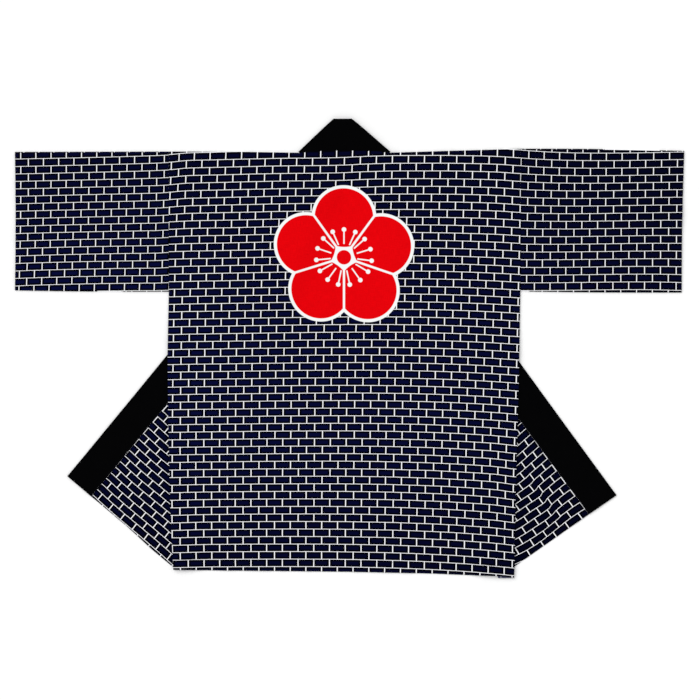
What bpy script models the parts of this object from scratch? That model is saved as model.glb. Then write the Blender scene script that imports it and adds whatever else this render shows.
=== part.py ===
# A happi coat, laid face down on a flat surface with both front edges folded out sideways.
# Metres. +Z is up, +Y runs from the hem to the neck, +X towards the wearer's right arm.
# The origin is the middle of the coat's underside.
#
# Each piece of cloth is drawn flat, as it was cut, and scored along its folds. It is then laid:
# folded under about those lines, and lifted over whatever lies beneath it.

import math
from collections import namedtuple

import bmesh
import bpy
from mathutils import Vector

MM = 0.001

CLOTH = 1.1 * MM  # wall of the printed cotton
BAND = 2.4 * MM  # collar, which is its cloth folded over on itself
AIR = 0.4 * MM  # between cloth that lies on cloth
SEAM = 0.4 * MM  # between pieces that are sewn edge to edge
PLY = CLOTH + AIR  # height that one layer of cotton adds to what lies on it
BAND_PLY = BAND + AIR  # height that the collar adds
FOLD_STEPS = 5  # facets round a folded edge
SAG_STEPS = 3  # facets from a layer's edge down to the surface
WELD = 0.001 * MM
FINEST = 0.35 * MM  # shortest edge left in the flat cloth

SHOULDER_TURN = 12 * MM  # how far the back reaches over the shoulder, to the front pieces
SAG = 50 * MM  # how far limp cotton takes to come down from a layer's edge
SEAM_RISE = 22 * MM  # how far from the collar a front starts to rise to it
COLLAR_TAIL = 3 * MM  # of the collar behind the neck, past its fold at either end
EDGE_ROOM = 6 * MM  # cloth stays lifted this far past the edge beneath it

# Outline of the laid back, in millimetres. The hem runs down to the right, as the coat lies.
Side = namedtuple("Side", "y left right")
BODY_SIDES = (
    Side(y=390, left=-351.0, right=332.5),
    Side(y=110, left=-351.0, right=331.5),
    Side(y=-14, left=-353.5, right=329.5),
    Side(y=-150, left=-352.0, right=326.0),
    Side(y=-300, left=-348.5, right=321.5),
    Side(y=-400, left=-344.0, right=320.5),
    Side(y=-450, left=-341.0, right=318.7),
)
Edge = namedtuple("Edge", "x y")
SHOULDER_LINE = (
    Edge(x=-360, y=381.8),
    Edge(x=-220, y=381.2),
    Edge(x=-102, y=379.0),
    Edge(x=83, y=379.0),
    Edge(x=220, y=383.6),
    Edge(x=340, y=386.7),
)
HEM_LINE = (
    Edge(x=-350, y=-431.0),
    Edge(x=0, y=-433.5),
    Edge(x=160, y=-437.0),
    Edge(x=250, y=-441.0),
    Edge(x=318.7, y=-446.0),
    Edge(x=330, y=-446.0),
)

# Each front, in millimetres: its seam to the collar from neck to hem, its collar's free edge,
# and the line it is folded under along, from a point at the hem, leaning to the middle.
Front = namedtuple("Front", "name side neck hem free_neck free_hem fold_at fold_lean")
FRONTS = (
    Front("left", -1, (-102.3, 379.0), (-113.0, -432.5), (-33.2, 444.7), (-49.0, -432.5),
          (-332.0, -432.0), 20.15),
    Front("right", 1, (82.6, 379.0), (72.9, -450.6), (4.9, 444.7), (8.9, -452.3),
          (287.6, -444.5), 18.0),
)

# Corners of each laid sleeve, in millimetres.
Sleeve = namedtuple("Sleeve", "name side arm_top arm_low cuff_top cuff_low top_bow low_bow cuff_bow")
SLEEVES = (
    Sleeve("left", -1, (-351.3, 381.8), (-351.3, 110.0), (-650.0, 381.0), (-650.0, 111.0),
           0.0, -1.0, 1.5),
    Sleeve("right", 1, (332.8, 386.6), (331.8, 109.6), (650.0, 381.8), (645.0, 107.6),
           3.0, -1.0, 1.5),
)
SLEEVE_LOFT = 1.9 * MM  # air between the two walls, at the middle of a sleeve

# Soft creases, in millimetres: middle, angle of the crest from +X, length, half width, height.
Crease = namedtuple("Crease", "x y angle length width height")
BACK_CREASES = (
    Crease(x=-255, y=250, angle=38, length=330, width=30, height=2.2),
    Crease(x=235, y=262, angle=-34, length=300, width=28, height=2.0),
    Crease(x=-90, y=-140, angle=84, length=420, width=34, height=1.6),
    Crease(x=120, y=-230, angle=97, length=380, width=32, height=1.8),
    Crease(x=-230, y=-330, angle=12, length=230, width=28, height=1.5),
    Crease(x=215, y=-60, angle=-58, length=260, width=30, height=1.6),
)
SLEEVE_CREASES = (
    Crease(x=-395, y=235, angle=84, length=230, width=22, height=2.2),
    Crease(x=-505, y=290, angle=-22, length=230, width=26, height=1.6),
    Crease(x=-560, y=180, angle=18, length=180, width=26, height=1.4),
    Crease(x=385, y=250, angle=96, length=240, width=22, height=2.2),
    Crease(x=480, y=190, angle=14, length=250, width=26, height=1.6),
    Crease(x=570, y=300, angle=-16, length=170, width=26, height=1.4),
)
FLAP_CREASES = (
    Crease(x=378, y=-300, angle=98, length=90, width=16, height=2.6),
    Crease(x=-400, y=-255, angle=60, length=120, width=20, height=1.8),
)


def ramp(share):
    share = min(max(share, 0.0), 1.0)
    return share * share * (3.0 - 2.0 * share)


def read_off(table, known, wanted, at):
    # Straight lines between a table's rows, with at and the result in metres.
    at = at / MM
    rows = sorted(table, key=lambda row: getattr(row, known))
    for low, high in zip(rows, rows[1:]):
        if at <= getattr(high, known) or high is rows[-1]:
            break
    span = getattr(high, known) - getattr(low, known)
    share = min(max((at - getattr(low, known)) / span, 0.0), 1.0)
    return MM * (getattr(low, wanted) + share * (getattr(high, wanted) - getattr(low, wanted)))


def point(pair):
    return Vector((pair[0] * MM, pair[1] * MM))


def shoulder_y(x):
    return read_off(SHOULDER_LINE, "x", "y", x)


def side_x(y, side):
    return read_off(BODY_SIDES, "y", "left" if side < 0 else "right", y)


def fold_of(front):
    # A point on the line that a front is folded along, its direction up, and the way to the middle.
    lean = math.radians(front.fold_lean)
    up = Vector((-front.side * math.sin(lean), math.cos(lean)))
    inward = Vector((-front.side * math.cos(lean), -math.sin(lean)))
    return point(front.fold_at), up, inward


def crossing(start, end, front):
    # Where the line through two points of the unfolded front meets its fold line.
    at, _, inward = fold_of(front)
    before, after = (start - at).dot(inward), (end - at).dot(inward)
    return start.lerp(end, before / (before - after))


def mirrored(place, front):
    at, _, inward = fold_of(front)
    return place - 2.0 * (place - at).dot(inward) * inward


def regions(front):
    # What a front puts under the cloth above it: (outline, height added) for each layer part.
    neck, free_neck = point(front.neck), point(front.free_neck)
    hem, free_hem = point(front.hem), point(front.free_hem)
    at, up, _ = fold_of(front)
    shoulder_turn = at + up * (neck.y - at.y) / up.y
    band_turn, cloth_turn = crossing(free_neck, free_hem, front), crossing(neck, hem, front)
    corner = mirrored(free_hem, front)
    shoulder = Vector((side_x(neck.y, front.side), shoulder_y(side_x(neck.y, front.side))))
    side_hem = Vector((side_x(hem.y, front.side), hem.y))
    return {
        "flap": ((band_turn, corner, at), BAND_PLY),
        "front": ((shoulder, neck, shoulder_turn, at, side_hem), PLY),
        "neck_band": ((neck, free_neck, band_turn, cloth_turn), BAND_PLY),
    }


REGIONS = {front.name: regions(front) for front in FRONTS}


def outside(place, outline):
    # Distance past a convex outline, and 0 or less inside it.
    middle = sum(outline, Vector((0.0, 0.0))) / len(outline)
    furthest = -1.0
    for start, end in zip(outline, outline[1:] + outline[:1]):
        along = (end - start).normalized()
        across = Vector((along.y, -along.x))
        if (middle - start).dot(across) > 0.0:
            across = -across
        furthest = max(furthest, (place - start).dot(across))
    return furthest


def lift_over(place, names):
    # Height that the named layer parts, of whichever front is nearer, give to cloth on them.
    height = 0.0
    for name in names:
        lifts = []
        for parts in REGIONS.values():
            outline, added = parts[name]
            past = outside(place, outline) - EDGE_ROOM
            lifts.append(added * (1.0 - ramp(past / SAG)))
        height += max(lifts)
    return height


def crease_lift(place, creases):
    height = 0.0
    for crease in creases:
        angle = math.radians(crease.angle)
        offset = place - point((crease.x, crease.y))
        along = abs(offset.x * math.cos(angle) + offset.y * math.sin(angle)) / (crease.length * MM / 2.0)
        across = (offset.y * math.cos(angle) - offset.x * math.sin(angle)) / (crease.width * MM)
        if along < 1.0:
            height += crease.height * MM * math.exp(-across * across) * (1.0 - along * along) ** 2
    return height


def flap_height(place):
    return CLOTH / 2.0 + crease_lift(place, FLAP_CREASES)


def front_height(place):
    return CLOTH / 2.0 + lift_over(place, ("flap",)) + crease_lift(place, FLAP_CREASES)


def back_height(place):
    beneath = lift_over(place, ("flap", "front"))
    under_band = lift_over(place, ("neck_band",)) * (BAND - CLOTH) / BAND_PLY
    creases = crease_lift(place, BACK_CREASES) + crease_lift(place, FLAP_CREASES)
    return CLOTH / 2.0 + beneath + under_band + creases


def flap_band_height(place):
    return BAND / 2.0


def neck_band_height(place):
    return BAND / 2.0 + lift_over(place, ("flap",))


def collar_back_height(place):
    return neck_band_height(place) + lift_over(place, ("neck_band",))


def folded(place, front, radius, above, below):
    # Lays a point of the unfolded front: past the fold line it turns under and back.
    at, _, inward = fold_of(front)
    past = (place - at).dot(inward)
    half_turn = math.pi * radius / 2.0
    if past <= -half_turn:
        return Vector((place.x, place.y, above(place)))
    if past >= half_turn:
        laid = place - 2.0 * past * inward
        return Vector((laid.x, laid.y, below(laid)))
    angle = (past + half_turn) / radius
    laid = place + (radius * math.sin(angle) - half_turn - past) * inward
    share = (1.0 - math.cos(angle)) / 2.0
    return Vector((laid.x, laid.y, above(laid) * (1.0 - share) + below(laid) * share))


def flat_cut(columns, rows, place, keep=None):
    # A grid whose point (column, row) lies at place(columns[i], rows[j]).
    mesh = bmesh.new()
    wide, high = len(columns) - 1, len(rows) - 1
    bmesh.ops.create_grid(mesh, x_segments=wide, y_segments=high, size=1.0)
    if keep:
        cells = [face for face in mesh.faces if not keep(*cell_of(face, columns, rows))]
        bmesh.ops.delete(mesh, geom=cells, context="FACES")
    for vert in mesh.verts:
        column = round((vert.co.x + 1.0) / 2.0 * wide)
        row = round((vert.co.y + 1.0) / 2.0 * high)
        laid = place(columns[column], rows[row])
        vert.co = (laid.x, laid.y, 0.0)
    return mesh


def cell_of(face, columns, rows):
    # The middle of a grid cell, in the columns' and rows' own values.
    middle = face.calc_center_median()
    column = int((middle.x + 1.0) / 2.0 * (len(columns) - 1))
    row = int((middle.y + 1.0) / 2.0 * (len(rows) - 1))
    return (columns[column] + columns[column + 1]) / 2.0, (rows[row] + rows[row + 1]) / 2.0


def score(mesh, at, across, offsets):
    # Cuts edges into the flat cloth along lines that are parallel to a fold.
    for offset in offsets:
        line = at + offset * across
        geometry = mesh.verts[:] + mesh.edges[:] + mesh.faces[:]
        bmesh.ops.bisect_plane(
            mesh, geom=geometry, dist=WELD,
            plane_co=(line.x, line.y, 0.0), plane_no=(across.x, across.y, 0.0),
        )


def score_fold(mesh, front, radius):
    at, _, inward = fold_of(front)
    half_turn = math.pi * radius / 2.0
    steps = [half_turn * (2.0 * step / FOLD_STEPS - 1.0) for step in range(FOLD_STEPS + 1)]
    score(mesh, at, inward, steps)


def sag_offsets():
    return [EDGE_ROOM + SAG * step / SAG_STEPS for step in range(SAG_STEPS + 1)]


def score_flap_edge(mesh, front):
    # The free edge of the flap beneath, over which the cloth above comes down.
    start, corner = REGIONS[front.name]["flap"][0][:2]
    along = (corner - start).normalized()
    upward = Vector((-along.y, along.x)) * front.side
    score(mesh, start, upward, sag_offsets())


def steps_between(start, end, count):
    return [start + (end - start) * step / count for step in range(count + 1)]


def lay(mesh, rule):
    # Points that the scoring left almost on each other become one before the cloth is laid.
    bmesh.ops.remove_doubles(mesh, verts=mesh.verts[:], dist=FINEST)
    for vert in mesh.verts:
        vert.co = rule(vert.co.to_2d())


def cloth_object(name, mesh, thickness, material):
    bmesh.ops.recalc_face_normals(mesh, faces=mesh.faces[:])
    data = bpy.data.meshes.new(name)
    mesh.to_mesh(data)
    mesh.free()
    data.shade_smooth()
    data.set_sharp_from_angle(angle=math.radians(35.0))
    cloth = bpy.data.objects.new(name, data)
    coat.objects.link(cloth)
    data.materials.append(material)
    wall = cloth.modifiers.new("wall", "SOLIDIFY")
    wall.thickness = thickness
    wall.offset = 0.0
    wall.use_even_offset = False
    wall.use_quality_normals = True
    return cloth


def make_material(name, colour, roughness):
    material = bpy.data.materials.new(name)
    material.use_nodes = True
    shader = material.node_tree.nodes["Principled BSDF"]
    shader.inputs["Base Color"].default_value = (*colour, 1.0)
    shader.inputs["Roughness"].default_value = roughness
    shader.inputs["Metallic"].default_value = 0.0
    return material


def make_back(material):
    # The back ends at the neck seam, and turns over the shoulders on both sides of it.
    top = shoulder_y(0.0)
    left, right = side_x(top, -1), side_x(top, 1)
    neck = [(point(front.neck).x - left) / (right - left) for front in FRONTS]
    clear = 1.2 * MM / (right - left)
    neck = [neck[0] - clear, neck[1] + clear]
    columns = steps_between(0.0, neck[0], 6) + steps_between(neck[0], neck[1], 5)[1:]
    columns += steps_between(neck[1], 1.0, 6)[1:]
    radius = PLY / 2.0
    turn = math.pi * radius
    over = steps_between(0.0, turn, FOLD_STEPS)[1:] + [turn + SHOULDER_TURN]
    rows = steps_between(-1.0, 0.0, 20) + over

    def place(column, row):
        y = top if row > 0.0 else top + row * (top - HEM_LINE[0].y * MM)
        x = side_x(y, -1) * (1.0 - column) + side_x(y, 1) * column
        if row > 0.0:
            return Vector((x, shoulder_y(x) + row))
        hem = read_off(HEM_LINE, "x", "y", x)
        return Vector((x, shoulder_y(x) * (1.0 + row) - hem * row))

    def laid(flat):
        past = flat.y - shoulder_y(flat.x)
        if past <= WELD:
            return Vector((flat.x, flat.y, back_height(flat)))
        angle = min(past / radius, math.pi)
        y = flat.y - past + radius * math.sin(angle) - max(past - turn, 0.0)
        spot = Vector((flat.x, y))
        share = (1.0 - math.cos(angle)) / 2.0
        return Vector((flat.x, y, back_height(spot) * (1.0 - share) + front_height(spot) * share))

    mesh = flat_cut(columns, rows, place, lambda column, row: row < 0.0 or not neck[0] < column < neck[1])
    for front in FRONTS:
        at, _, inward = fold_of(front)
        score(mesh, at, inward, sag_offsets())
        score_flap_edge(mesh, front)
    lay(mesh, laid)
    return cloth_object("back", mesh, CLOTH, material)


def make_front(front, material):
    # One front, from its side seam to the collar seam, with its inner part turned under.
    neck, hem = point(front.neck), point(front.hem)
    below_turn = SHOULDER_TURN + SEAM
    inner_offset = front.side * SEAM / 2.0

    def place(column, row):
        inner = neck.lerp(hem, row).x + inner_offset
        outer = side_x(neck.y + (hem.y - neck.y) * row, front.side)
        x = outer + (inner - outer) * column
        high = shoulder_y(x) - below_turn
        low = read_off(HEM_LINE, "x", "y", outer) * (1.0 - column) + hem.y * column
        return Vector((x, high + (low - high) * row))

    width = abs(neck.x - side_x(neck.y, front.side))
    columns = steps_between(0.0, 1.0 - SEAM_RISE / width, 5) + [1.0]
    mesh = flat_cut(columns, steps_between(0.0, 1.0, 20), place)
    radius = BAND_PLY / 2.0
    score_fold(mesh, front, radius)
    score_flap_edge(mesh, front)

    def laid(flat):
        # The cloth rises to the middle of the collar's thickness where it is sewn to it.
        share = (flat.y - hem.y) / (neck.y - hem.y)
        from_seam = abs(flat.x - hem.lerp(neck, share).x)
        rise = (BAND - CLOTH) / 2.0 * max(1.0 - from_seam / SEAM_RISE, 0.0)
        place = folded(flat, front, radius, front_height, flap_height)
        return place + Vector((0.0, 0.0, rise))

    lay(mesh, laid)
    return cloth_object("front_" + front.name, mesh, CLOTH, material)


def make_sleeve(sleeve, material):
    # A flattened tube, open at the armhole and the cuff. Its lower wall lies on the surface.
    arm_top, arm_low = point(sleeve.arm_top), point(sleeve.arm_low)
    cuff_top, cuff_low = point(sleeve.cuff_top), point(sleeve.cuff_low)
    radius = PLY / 2.0
    across = steps_between(0.0, 1.0, 11)
    ring = [("upper", share) for share in across]
    ring += [("low_edge", step / FOLD_STEPS) for step in range(1, FOLD_STEPS)]
    ring += [("lower", 1.0 - share) for share in across]
    ring += [("top_edge", step / FOLD_STEPS) for step in range(1, FOLD_STEPS)]
    stations = steps_between(0.0, 1.0, 12)

    def plan(along, down):
        bow = math.sin(math.pi * along) * MM
        top = arm_top.lerp(cuff_top, along) + Vector((0.0, sleeve.top_bow * bow))
        low = arm_low.lerp(cuff_low, along) + Vector((0.0, sleeve.low_bow * bow))
        place = top.lerp(low, down)
        place.x -= sleeve.side * sleeve.cuff_bow * MM * along ** 8 * math.sin(math.pi * down)
        return place

    def loft(along, down):
        open_share = 0.25 + 0.75 * math.sin(math.pi * min(along * 1.15, 1.0)) if along > 0.0 else 0.0
        return SLEEVE_LOFT * open_share * ramp(along / 0.12) * math.sin(math.pi * down) ** 0.7

    def ring_point(along, part, share):
        if part == "lower":
            place = plan(along, share)
            return Vector((place.x, place.y, CLOTH / 2.0))
        if part == "upper":
            place = plan(along, share)
            height = crease_lift(place, SLEEVE_CREASES) * math.sin(math.pi * share) * ramp(along / 0.1)
            return Vector((place.x, place.y, CLOTH / 2.0 + PLY + loft(along, share) + height))
        place = plan(along, 1.0 if part == "low_edge" else 0.0)
        outward = -1.0 if part == "low_edge" else 1.0
        angle = math.pi * (share if part == "low_edge" else 1.0 - share)
        y = place.y + outward * radius * math.sin(angle)
        return Vector((place.x, y, CLOTH / 2.0 + radius + radius * math.cos(angle)))

    mesh = bmesh.new()
    rings = [[mesh.verts.new(ring_point(along, *spot)) for spot in ring] for along in stations]
    for first, second in zip(rings, rings[1:]):
        for index, start in enumerate(first):
            after = (index + 1) % len(ring)
            mesh.faces.new((start, first[after], second[after], second[index]))
    return cloth_object("sleeve_" + sleeve.name, mesh, CLOTH, material)


def collar_ends(front):
    # Both ends, at the neck and at the hem, of the collar's sewn edge and of its free edge.
    offset = Vector((front.side * SEAM / 2.0, 0.0))
    sewn = point(front.neck) - offset, point(front.hem) - offset
    free = point(front.free_neck), point(front.free_hem)
    return sewn, free


def make_collar_side(front, material):
    # The collar down one front. It turns over with the front's folded flap.
    sewn, free = collar_ends(front)
    below = Vector((0.0, -COLLAR_TAIL - 1.5 * SEAM))

    def place(width, row):
        low = sewn[1].lerp(free[1], width)
        return (sewn[0].lerp(free[0], width) + below).lerp(low, row)

    radius = BAND_PLY / 2.0
    mesh = flat_cut(steps_between(0.0, 1.0, 3), steps_between(0.0, 1.0, 24), place)
    score_fold(mesh, front, radius)
    lay(mesh, lambda flat: folded(flat, front, radius, neck_band_height, flap_band_height))
    return cloth_object("collar_" + front.name, mesh, BAND, material)


def make_collar_neck(material):
    # The collar behind the neck, flat above the shoulders and turned under at both ends.
    radius = BAND_PLY / 2.0

    def turned(front, width, turn):
        # turn runs from 0, just under the fold, to 1, on top of it.
        sewn, free = collar_ends(front)
        along = (free[0] - sewn[0]).normalized()
        outward = Vector((-along.y, along.x)) * -front.side
        base = sewn[0].lerp(free[0], width)
        base.y += SEAM * (1.0 - width) * turn
        spot = base + outward * radius * math.sin(math.pi * turn)
        share = (1.0 - math.cos(math.pi * turn)) / 2.0
        height = neck_band_height(base) * (1.0 - share) + collar_back_height(base) * share
        return Vector((spot.x, spot.y, height))

    def tail(front, width):
        end = turned(front, width, 0.0)
        return end - Vector((0.0, COLLAR_TAIL, 0.0))

    def behind_neck(width, across):
        start = turned(FRONTS[0], width, 1.0).to_2d()
        place = start.lerp(turned(FRONTS[1], width, 1.0).to_2d(), across)
        return Vector((place.x, place.y, collar_back_height(place)))

    widths = steps_between(0.0, 1.0, 3)
    turns = steps_between(0.0, 1.0, FOLD_STEPS)
    rows = [[tail(FRONTS[0], width) for width in widths]]
    rows += [[turned(FRONTS[0], width, turn) for width in widths] for turn in turns]
    between = steps_between(0.0, 1.0, 12)[1:-1]
    rows += [[behind_neck(width, across) for width in widths] for across in between]
    rows += [[turned(FRONTS[1], width, turn) for width in widths] for turn in reversed(turns)]
    rows += [[tail(FRONTS[1], width) for width in widths]]
    mesh = bmesh.new()
    verts = [[mesh.verts.new(spot) for spot in row] for row in rows]
    for first, second in zip(verts, verts[1:]):
        for index in range(len(widths) - 1):
            mesh.faces.new((first[index], first[index + 1], second[index + 1], second[index]))
    return cloth_object("collar_neck", mesh, BAND, material)


for old in list(bpy.data.objects):
    bpy.data.objects.remove(old)
coat = bpy.data.collections.new("happi_coat")
bpy.context.scene.collection.children.link(coat)
navy = (0.006, 0.007, 0.035)
black = (0.004, 0.004, 0.005)
make_back(make_material("back_cotton", navy, 0.85))
for front in FRONTS:
    make_front(front, make_material("front_" + front.name + "_cotton", navy, 0.85))
    make_collar_side(front, make_material("collar_" + front.name + "_cotton", black, 0.75))
for sleeve in SLEEVES:
    make_sleeve(sleeve, make_material("sleeve_" + sleeve.name + "_cotton", navy, 0.85))
make_collar_neck(make_material("collar_neck_cotton", black, 0.75))
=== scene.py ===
# A happi coat laid face down on a pale floor, with both front edges folded out to the sides.
# Lengths are in millimetres here, and a mesh is turned into metres when it is made.
import math

import bmesh
import bpy
import numpy as np
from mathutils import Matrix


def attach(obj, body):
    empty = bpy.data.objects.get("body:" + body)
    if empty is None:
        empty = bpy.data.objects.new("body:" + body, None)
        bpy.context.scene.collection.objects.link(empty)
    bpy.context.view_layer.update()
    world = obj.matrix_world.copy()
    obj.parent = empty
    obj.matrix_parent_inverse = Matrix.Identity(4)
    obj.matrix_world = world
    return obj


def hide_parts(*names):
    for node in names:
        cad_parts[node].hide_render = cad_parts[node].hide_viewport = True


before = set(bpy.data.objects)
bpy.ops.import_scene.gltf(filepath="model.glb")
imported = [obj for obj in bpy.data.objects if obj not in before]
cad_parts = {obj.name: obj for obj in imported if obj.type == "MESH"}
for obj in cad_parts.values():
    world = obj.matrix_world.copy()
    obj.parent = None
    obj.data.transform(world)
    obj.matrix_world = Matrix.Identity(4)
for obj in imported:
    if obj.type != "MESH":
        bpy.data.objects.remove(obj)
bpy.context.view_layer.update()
print("frame loaded:", ", ".join(sorted(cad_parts)))

mm = 0.001

cloth = {
    "wall": 1.0,  # cotton with its turned hems
    "band": 2.3,  # the collar, folded double
    "clothMid": 0.55,  # height of a cotton layer's middle above what it lies on
    "bandMid": 1.2,
    "ply": 1.5,  # what one layer of cotton lifts the next by
    "bandPly": 2.8,
    "sag": 50.0,  # how far cloth takes to come down past an edge beneath it
    "edgeRoom": 6.0,
    "cell": 6.0,  # size of the cloth's mesh cells
    "hemDepth": 20.0,
    "hemStep": 0.35,
    "hemRamp": 3.0,
    "turnCells": 8,  # rows of cells round a fold
    "rounding": 0.3,  # of its edges, as a share of the wall
}

# The coat's outline as it lies, seen from above.
bodySides = {
    "y": [-450, -400, -300, -150, -14, 110, 390],
    "left": [-341.0, -344.0, -348.5, -352.0, -353.5, -351.0, -351.0],
    "right": [318.7, 320.5, 321.5, 326.0, 329.5, 331.5, 332.5],
}
shoulderLine = {
    "x": [-360, -220, -102, 83, 220, 340],
    "y": [380.2, 379.7, 377.8, 378.0, 382.2, 385.6],
}
hemLine = {
    "x": [-350, -250, -100, 0, 160, 250, 300, 318.7, 330],
    "y": [-431.0, -432.4, -433.9, -435.0, -438.4, -442.1, -443.6, -446.6, -446.6],
}
# For each front, the value after its joints is the strength of the painted light on its navy.
fronts = {
    "left": {
        "side": -1,
        "neck": (-97.8, 379.0), "hem": (-109.6, -432.5),
        "freeNeck": (-28.8, 444.7), "freeHem": (-49.0, -432.5), "freeBow": 2.8,
        "foldAt": (-332.0, -432.0), "foldLean": 20.15, "droop": 3.3,
        "flat": (0.245, 0.812), "bandFlat": (0.064, 0.85),
        "joint": (2.08, 1.2), "paintedLightAndWear": 0.7,
    },
    "right": {
        "side": 1,
        "neck": (77.7, 379.0), "hem": (72.9, -450.6),
        "freeNeck": (2.0, 444.7), "freeHem": (7.7, -452.3), "freeBow": 3.0,
        "foldAt": (287.6, -444.5), "foldLean": 18.0, "droop": 0.0,
        "flat": (0.25, 0.825), "bandFlat": (0.071, 0.86),
        "joint": (2.0, 1.15), "paintedLightAndWear": 0.58,
    },
}


def smoothStep(share):
    share = np.clip(share, 0.0, 1.0)
    return share * share * (3.0 - 2.0 * share)


def shoulderY(x):
    return np.interp(x, shoulderLine["x"], shoulderLine["y"])


def hemY(x):
    return np.interp(x, hemLine["x"], hemLine["y"])


def sideX(y, side):
    return np.interp(y, bodySides["y"], bodySides["left" if side < 0 else "right"])


def mix(start, end, share):
    return start + (end - start) * share


def points(*axes):
    return np.column_stack(axes)


def arch(share):
    # up and down again over 0 to 1
    return np.sin(math.pi * share)


def foldLine(front):
    lean = math.radians(front["foldLean"])
    up = np.array([-front["side"] * math.sin(lean), math.cos(lean)])
    inward = np.array([-front["side"] * math.cos(lean), -math.sin(lean)])
    return np.array(front["foldAt"]), up, inward


def crossing(start, end, front):
    at, _, inward = foldLine(front)
    start, end = np.array(start), np.array(end)
    before, after = (start - at) @ inward, (end - at) @ inward
    return mix(start, end, before / (before - after))


def mirrored(place, front):
    at, _, inward = foldLine(front)
    place = np.array(place)
    return place - 2.0 * ((place - at) @ inward) * inward


def layersOf(front):
    # what one front puts beneath the cloth above it: outline and height
    at, up, _ = foldLine(front)
    neck, hem = np.array(front["neck"]), np.array(front["hem"])
    freeNeck, freeHem = np.array(front["freeNeck"]), np.array(front["freeHem"])
    shoulderTurn = at + up * (neck[1] - at[1]) / up[1]
    bandTurn, clothTurn = crossing(freeNeck, freeHem, front), crossing(neck, hem, front)
    outer = sideX(neck[1], front["side"])
    shoulder = np.array([outer, shoulderY(outer)])
    sideHem = np.array([sideX(hem[1], front["side"]), hem[1]])
    return {
        "flap": ([bandTurn, mirrored(freeHem, front), at], cloth["bandPly"]),
        "front": ([shoulder, neck, shoulderTurn, at, sideHem], cloth["ply"]),
        "neckBand": ([neck, freeNeck, bandTurn, clothTurn], cloth["bandPly"]),
    }


layers = {name: layersOf(front) for name, front in fronts.items()}


def outside(xy, outline):
    # distance past a convex outline
    middle = sum(outline) / len(outline)
    furthest = np.full(len(xy), -1e9)
    for start, end in zip(outline, outline[1:] + outline[:1]):
        along = (end - start) / np.linalg.norm(end - start)
        across = np.array([along[1], -along[0]])
        if (middle - start) @ across > 0.0:
            across = -across
        furthest = np.maximum(furthest, (xy - start) @ across)
    return furthest


def liftOver(xy, *names):
    height = np.zeros(len(xy))
    for name in names:
        lifts = []
        for parts in layers.values():
            outline, added = parts[name]
            past = outside(xy, outline) - cloth["edgeRoom"]
            lifts.append(added * (1.0 - smoothStep(past / cloth["sag"])))
        height += np.maximum(*lifts)
    return height


slack = {
    "waves": (180, 128, 90, 64, 45, 33),  # their lengths
    "wander": (1.3, 0.45),  # how far the crests wind, and how often
    "softness": 0.6,
    "steepFlank": 0.7,  # of a crease, against its other flank
    # each piece's seed and height
    "back": (3, 0.55), "fronts": (31, 0.4), "sleeves": (11, 0.5), "collar": (21, 0.75),
}

# Each crease: middle x, y, angle of its crest, length, half width, height, bend of the crest.
creases = {
    "back": [
        (-255, 250, 38, 330, 28, 2.8, 10), (235, 262, -34, 300, 26, 2.6, -8),
        (-90, -140, 84, 420, 32, 2.3, 14), (120, -230, 97, 380, 30, 2.5, -12),
        (-230, -330, 12, 230, 26, 2.1, 6), (215, -60, -58, 260, 28, 2.2, 8),
        (-300, 90, 72, 150, 13, 1.5, 5), (290, 130, 105, 170, 14, 1.6, -6),
        (-150, 20, 25, 190, 15, 1.3, -7), (40, -350, 4, 240, 17, 1.3, 5),
        (180, 60, -18, 160, 12, 1.1, 4), (-20, -60, 60, 210, 19, 1.2, 6),
        (270, -260, 80, 210, 16, 1.5, 9), (-310, -180, 98, 190, 14, 1.4, -6),
        (-200, 330, 14, 150, 12, 1.0, 4), (190, 340, -12, 170, 12, 1.0, -5),
    ],
    "sleeves": [
        (-395, 235, 84, 230, 21, 2.7, 8), (-505, 290, -22, 230, 24, 2.2, 6),
        (-560, 180, 18, 180, 24, 1.9, -5), (-450, 150, 60, 130, 12, 1.3, 4),
        (-600, 300, 76, 120, 12, 1.1, 3), (385, 250, 96, 240, 21, 2.7, -8),
        (480, 190, 14, 250, 24, 2.2, 6), (570, 300, -16, 170, 24, 1.9, 5),
        (520, 260, 48, 200, 12, 1.5, -5), (610, 170, 100, 120, 13, 1.2, 3),
    ],
    "flaps": [
        (370, -288, 124, 84, 14, 2.6, 4), (380, -335, 80, 60, 12, 1.9, 3),
        (-400, -255, 60, 120, 20, 1.8, -4),
        (-430, -320, 20, 90, 12, 0.9, 3), (440, -330, 150, 100, 12, 0.8, 3),
    ],
}


def creaseLift(xy, which):
    height = np.zeros(len(xy))
    for x, y, angle, length, width, top, bend in creases[which]:
        turn = math.radians(angle)
        dx, dy = xy[:, 0] - x, xy[:, 1] - y
        along = (dx * math.cos(turn) + dy * math.sin(turn)) / (length / 2.0)
        across = dy * math.cos(turn) - dx * math.sin(turn) - bend * along * along
        across = across / np.where(across > 0.0, width, width * slack["steepFlank"])
        fade = np.clip(1.0 - along * along, 0.0, 1.0) ** 2
        height += top * np.exp(-across * across) * fade
    return height


def unevenness(xy, piece, side=0):
    # Slack that cotton keeps after it has been smoothed flat by hand. It only lifts.
    seed, height = slack[piece]
    far, often = slack["wander"]
    rng = np.random.default_rng(seed + side)
    total = np.zeros(len(xy))
    for wave in slack["waves"]:
        turn, start, other = rng.uniform(0.0, math.tau, 3)
        reach = (xy[:, 0] * math.cos(turn) + xy[:, 1] * math.sin(turn)) * math.tau / wave
        cross = (xy[:, 1] * math.cos(turn) - xy[:, 0] * math.sin(turn)) * math.tau / wave
        wound = reach + start + far * np.sin(cross * often + other)
        total += np.sin(wound) * math.sqrt(wave / slack["waves"][0])
    return height * 0.5 * (total + np.sqrt(total * total + slack["softness"]))


def flapZ(xy):
    return cloth["clothMid"] + creaseLift(xy, "flaps")


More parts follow.
